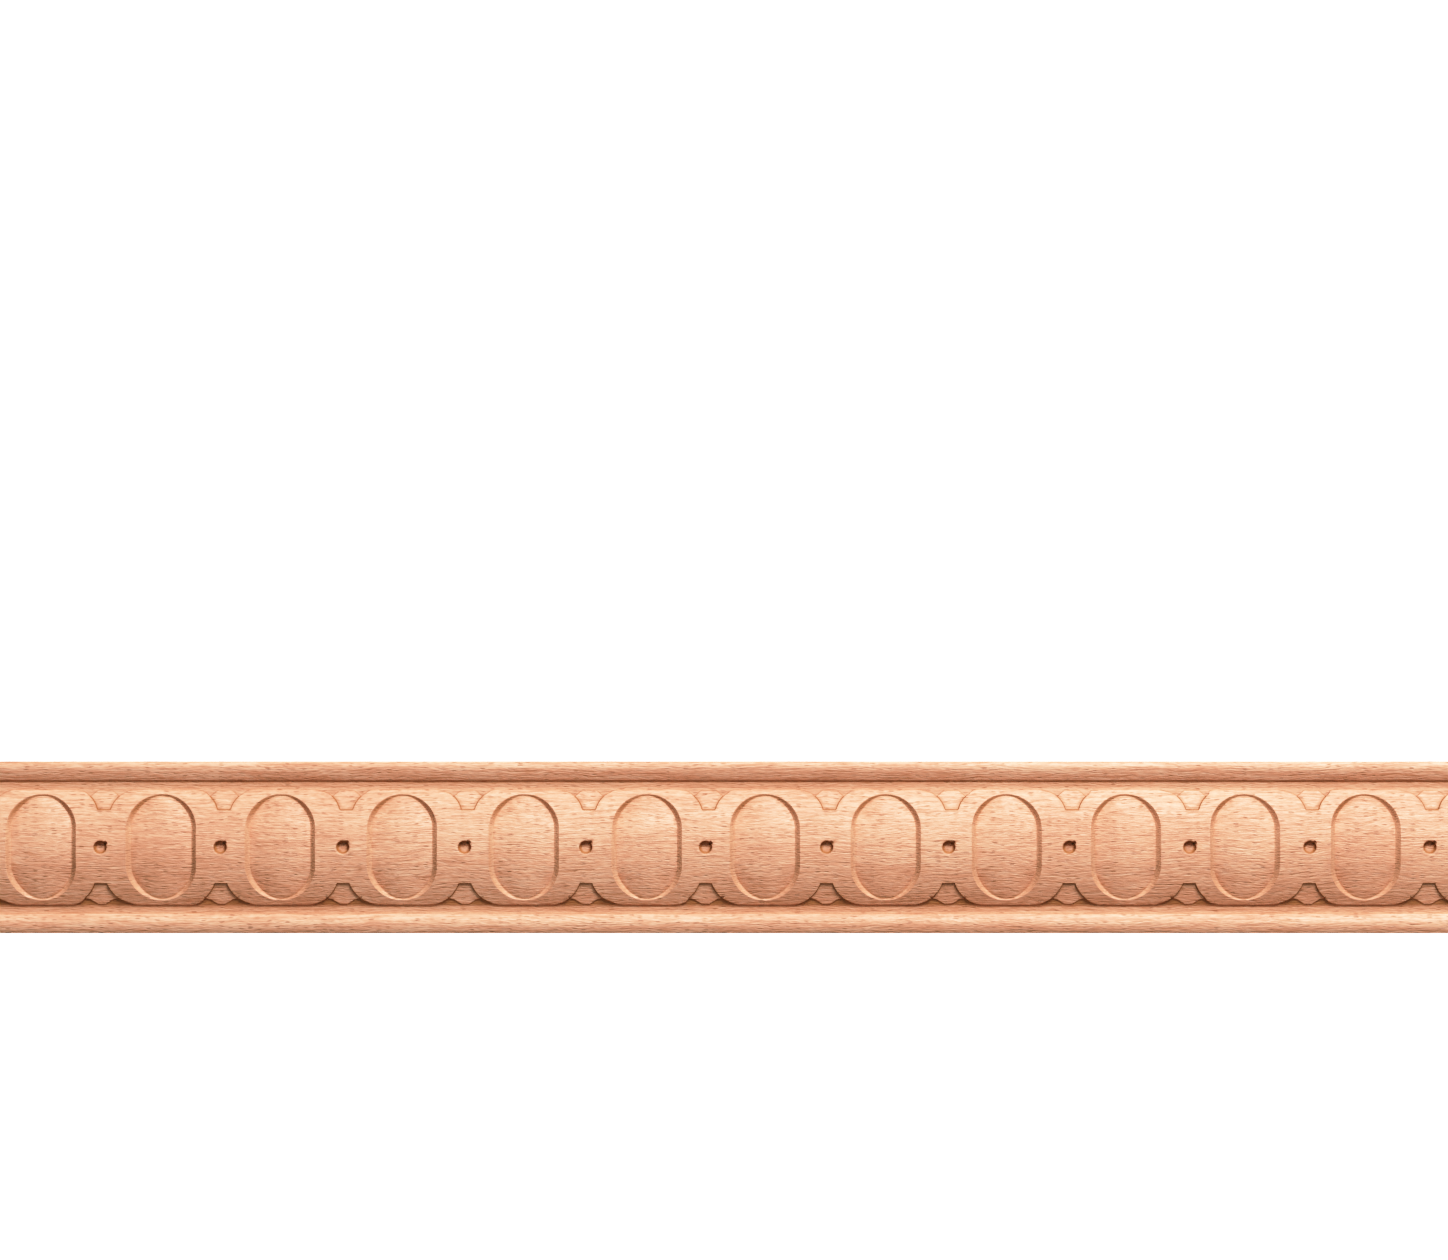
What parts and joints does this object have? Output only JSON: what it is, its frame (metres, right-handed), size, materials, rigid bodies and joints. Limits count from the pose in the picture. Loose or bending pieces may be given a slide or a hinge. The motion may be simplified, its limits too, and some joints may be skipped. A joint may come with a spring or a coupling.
{
  "type": "carved wooden moulding strip",
  "caption": "Flat-backed beech moulding strip with a domed band of sunk ovals, round dots and keystone notches between two rounded edge beads.",
  "frame": {"origin": "middle of the flat back, which the strip rests on or is glued by", "axes": "+X along the strip, +Y across it, +Z out of the carved face"},
  "size_m": [0.455, 0.05, 0.0093],
  "materials": {
    "beech": "raw sanded beech, matt to satin"
  },
  "bodies": {
    "root": {"moulding_strip": "beech"}
  },
  "joints": []
}
